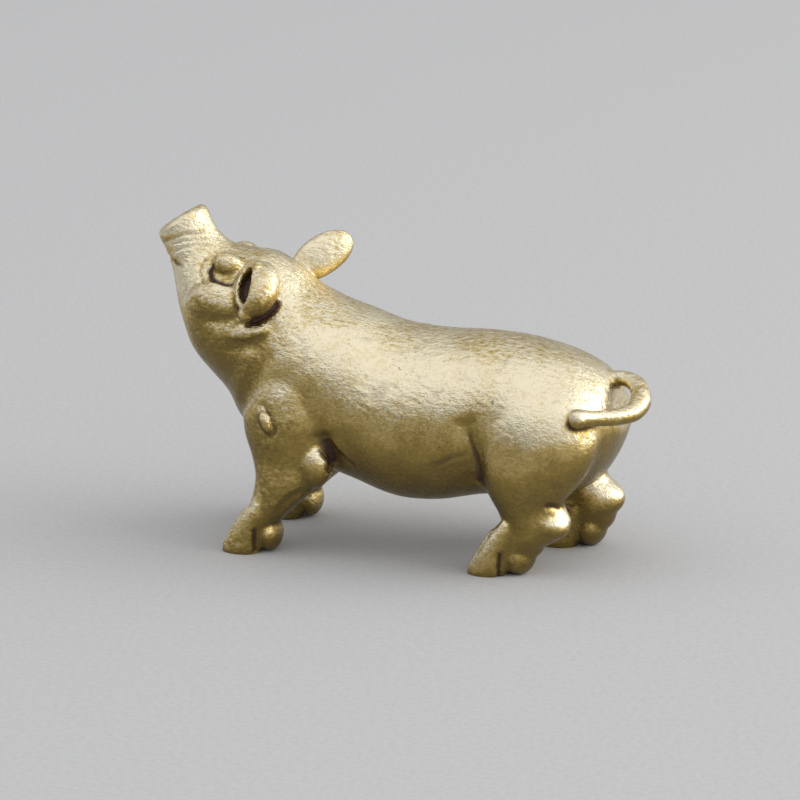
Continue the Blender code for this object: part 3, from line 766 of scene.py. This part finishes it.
def node(tree, kind, inputs, output=0, stops=(), **settings):
    """Add a node and give back one of its outputs. Its inputs come as a list in their order, or by name or
    number: a socket is linked and anything else is set. Stops are the places and the greys or hex colours of a
    ramp, and settings are the node's own properties.
    """
    made = tree.nodes.new("ShaderNode" + kind)
    for key, value in settings.items():
        setattr(made, key, value)
    for index, (place, shade) in enumerate(stops):
        stop = made.color_ramp.elements[index] if index < 2 else made.color_ramp.elements.new(place)
        stop.position = place
        stop.color = colour(shade) if isinstance(shade, str) else (shade, shade, shade, 1.0)
    for key, value in inputs.items() if isinstance(inputs, dict) else enumerate(inputs):
        if isinstance(value, bpy.types.NodeSocket):
            tree.links.new(value, made.inputs[key])
        else:
            made.inputs[key].default_value = value
    return made.outputs[output]


def blank_material(name):
    """A new material with its node tree, its surface shader and the place on the object, in metres."""
    material = bpy.data.materials.new(name)
    material.use_nodes = True
    tree = material.node_tree
    return material, tree, tree.nodes["Principled BSDF"].inputs, node(tree, "TexCoord", [], "Object")


def antique_brass():
    """Yellow brass, lost-wax cast and tumbled, blackened in a bath and rubbed back by hand. The eye sees a warm
    pale metal with broad soft highlights on the backs, where the base colour is also painted paler as painted
    light, olive tarnish between them that is painted darker low down as painted shade, purple-brown oxidation
    left in folds and pits and laid in the recesses as painted shade, and a fine sandy grain that breaks every
    highlight.
    """
    material, tree, surface, place = blank_material("antique_brass")
    dark, wear_and_painted_light, brushed = (node(tree, "Attribute", [], "Fac", attribute_name=name)
                           for name in ("dark", "wear_and_painted_light", "brushed"))

    # The strokes of the wax brush run back and down from the neck, two and a half times as long as wide.
    along = node(tree, "Mapping", {"Vector": place, "Rotation": (0.0, math.radians(24), 0.0),
                                   "Scale": (0.4, 1.0, 1.0)})
    # Each noise: the size of a patch in millimetres, its octaves and how strong the finer ones are.
    strokes, cloud, edge, pit, patch, stain, grain = (
        node(tree, "TexNoise",
             {"Vector": space, "Scale": 1 / (size * MM), "Detail": octaves, "Roughness": finer})
        for size, octaves, finer, space in (
            (0.24, 3.0, 0.6, along),    # strokes of the wax brush
            (3.5, 5.0, 0.6, place),     # clouds of tarnish
            (0.4, 4.0, 0.65, place),    # fine mottle, which also breaks up the edges
            (0.3, 2.0, 0.5, place),     # casting pits
            (2.6, 3.0, 0.5, place),     # patches in which the pits lie
            (1.8, 5.0, 0.7, place),     # brown stains
            (0.3, 3.0, 0.7, place)))    # sandy grain, drawn twice as coarse as it is, so that it shows
    strokes = node(tree, "Math", [strokes, 0.5], operation="SUBTRACT")
    edge = node(tree, "Math", [edge, 0.5], operation="SUBTRACT")

    # Tarnish lies in clouds with a fine mottle, and is rubbed off on the proud and gripped parts. The same mix
    # also paints the metal paler where the skin looks up and darker low down, as painted light and painted
    # shade. Where the brush went tarnish also stays between the strokes.
    combed = node(tree, "Math", [edge, 0.3, strokes], operation="MULTIPLY_ADD")
    comb = node(tree, "Math", [brushed, 1.25], operation="MULTIPLY")
    rub_and_painted_light = node(tree, "Math", [cloud, 0.6, -0.3], operation="MULTIPLY_ADD")
    for value, share in ((wear_and_painted_light, 0.95), (edge, 0.5), (combed, comb), (brushed, -0.15)):
        rub_and_painted_light = node(tree, "Math", [value, share, rub_and_painted_light], operation="MULTIPLY_ADD")
    metal = node(tree, "ValToRGB", [rub_and_painted_light],
                 stops=[(0.0, "#826F40"), (0.3, "#9F884B"), (0.6, "#CFB676"), (0.92, "#F3E8C9")])

    # Oxidation stays in the folds, its edge broken up by the mottle, in the pits, and thinly in the stains. The
    # dark in the folds is partly painted shade, laid in deep grooves, gaps and recesses.
    fold = node(tree, "Math", [edge, 0.7, dark], operation="MULTIPLY_ADD")
    fold = node(tree, "ValToRGB", [fold], stops=[(0.3, 0.0), (0.95, 1.0)])
    patch = node(tree, "Math", [patch, 0.5, -0.25], operation="MULTIPLY_ADD")
    pits = node(tree, "Math", [pit, patch], operation="ADD")
    pits = node(tree, "ValToRGB", [pits], stops=[(0.68, 0.0), (0.84, 1.0)])
    stain = node(tree, "Math", [edge, 0.35, stain], operation="MULTIPLY_ADD")
    stain = node(tree, "ValToRGB", [stain], stops=[(0.57, 0.0), (0.78, 0.4)])
    thin = node(tree, "Math", [pits, 0.6], operation="MULTIPLY")
    oxide_and_shade = fold
    for layer in (thin, stain):
        oxide_and_shade = node(tree, "Math", [oxide_and_shade, layer], operation="MAXIMUM")
    base = node(tree, "Mix", {0: oxide_and_shade, 6: metal, 7: colour("#42291F")}, 2, data_type="RGBA")

    # The relief is the strokes where the brush went, the sandy grain all over, and the pits.
    deep = node(tree, "Math", [brushed, 1.5, 0.6], operation="MULTIPLY_ADD")
    relief = node(tree, "Math", [strokes, deep], operation="MULTIPLY")
    for value, share in ((grain, 1.2), (pits, -0.5)):
        relief = node(tree, "Math", [value, share, relief], operation="MULTIPLY_ADD")
    bump = node(tree, "Bump", {"Strength": 1.0, "Distance": 0.06 * MM, "Height": relief})

    # Rubbed metal is smoother, and the dark layer of oxidation and painted shade is dull and hardly metallic.
    rough = node(tree, "Math", [wear_and_painted_light, -0.12, 0.28], operation="MULTIPLY_ADD")
    rough = node(tree, "Math", [oxide_and_shade, 0.3, rough], operation="MULTIPLY_ADD")
    bare = node(tree, "Math", [oxide_and_shade, -0.75, 1.0], operation="MULTIPLY_ADD")
    for name, value in (("Base Color", base), ("Normal", bump), ("Roughness", rough), ("Metallic", bare)):
        tree.links.new(value, surface[name])
    return material


def pale_paper():
    """Matt pale grey paper, the table under the pig. It gives the eye a plain ground with a faint tooth of
    half a millimetre.
    """
    material, tree, surface, place = blank_material("pale_paper")
    tooth = node(tree, "TexNoise", {"Vector": place, "Scale": 1 / (0.5 * MM), "Detail": 3.0})
    shade = node(tree, "ValToRGB", [tooth], stops=[(0.2, "#BFC0C3"), (0.8, "#CBCCCE")])
    tree.links.new(shade, surface["Base Color"])
    surface["Roughness"].default_value = 0.9
    surface["Specular IOR Level"].default_value = 0.2
    return material


# Stage, in metres

TABLE_HALF = 1.5
TARGET = Vector((-0.458, 0.0, 12.95)) * MM
CAMERA_TURN = math.radians(19.0)
CAMERA_RISE = math.radians(14.5)
CAMERA_DISTANCE = 0.35
CAMERA_LENS = 181.1
WINDOW_WAY = Vector((0.87, 0.15, 0.42))
WINDOW_DISTANCE = 0.8
WINDOW_SIZE = (0.75, 0.65)
WINDOW_WATTS = 3.0
WINDOW_TARGET = Vector((0.0, 0.0, 0.012))
# The room's two gradients, multiplied: the way that each points and its shades, from 0 behind it to 1 ahead.
WALLS = ((0.294, 0.564, 0.772), [(0.26, "#68696C"), (0.32, "#8A8A8C"), (0.38, "#E2E2E2"), (0.66, "#FFFFFF")])
BEHIND = ((-0.6, 0.78, 0.18), [(0.62, "#FFFFFF"), (0.92, "#B4B2AE")])


def table():
    """The table top: a flat square of points, far larger than the view."""
    half = TABLE_HALF
    points = [(-half, -half, 0.0), (half, -half, 0.0), (half, half, 0.0), (-half, half, 0.0)]
    mesh = bpy.data.meshes.new("table")
    mesh.from_pydata(points, [], [(0, 1, 2, 3)])
    mesh.materials.append(pale_paper())
    made = bpy.data.objects.new("table", mesh)
    bpy.context.scene.collection.objects.link(made)


def aimed(made, place, target):
    """Put a lamp or camera at a place and point it at the target."""
    made.location = place
    made.rotation_euler = (target - place).to_track_quat("-Z", "Y").to_euler()
    bpy.context.scene.collection.objects.link(made)


def window():
    """A soft window at the right: a rectangular lamp that looks at the pig."""
    lamp = bpy.data.lights.new("window", "AREA")
    lamp.shape = "RECTANGLE"
    lamp.size, lamp.size_y = WINDOW_SIZE
    lamp.energy = WINDOW_WATTS
    lamp.color = colour("#FFFBF5")[:3]
    aimed(bpy.data.objects.new("window", lamp), WINDOW_WAY.normalized() * WINDOW_DISTANCE, WINDOW_TARGET)


def room():
    """A pale room that is dark low down at the front left and dimmer at the back left. A gradient's place is
    half the dot product of the direction and its way, plus a half.
    """
    world = bpy.data.worlds.new("room")
    world.use_nodes = True
    tree = world.node_tree
    direction = node(tree, "TexCoord", [], "Generated")
    shades = []
    for way, stops in (WALLS, BEHIND):
        lean = node(tree, "VectorMath", [direction, way], "Value", operation="DOT_PRODUCT")
        ahead = node(tree, "Math", [lean, 0.5, 0.5], operation="MULTIPLY_ADD")
        shades.append(node(tree, "ValToRGB", [ahead], stops=stops))
    walls, behind = shades
    light = node(tree, "Mix", {0: 1.0, 6: walls, 7: behind}, 2, data_type="RGBA", blend_type="MULTIPLY")
    tree.links.new(light, tree.nodes["Background"].inputs["Color"])
    bpy.context.scene.world = world


def camera():
    """The viewer's place: 19 degrees round from the left side, 14.5 degrees up, 350 mm away."""
    level = math.cos(CAMERA_RISE)
    back = Vector((math.sin(CAMERA_TURN) * level, -math.cos(CAMERA_TURN) * level, math.sin(CAMERA_RISE)))
    view = bpy.data.cameras.new("view")
    view.sensor_width = 36.0
    view.lens = CAMERA_LENS
    view.clip_start = 0.01
    made = bpy.data.objects.new("view", view)
    aimed(made, TARGET + back * CAMERA_DISTANCE, TARGET)
    bpy.context.scene.camera = made


casting = pig()
casting.data.materials.append(antique_brass())
bpy.context.scene.collection.objects.link(casting)
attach(casting, "root")
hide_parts("pig")
table()
window()
room()
camera()
bpy.context.scene.view_settings.view_transform = "Standard"
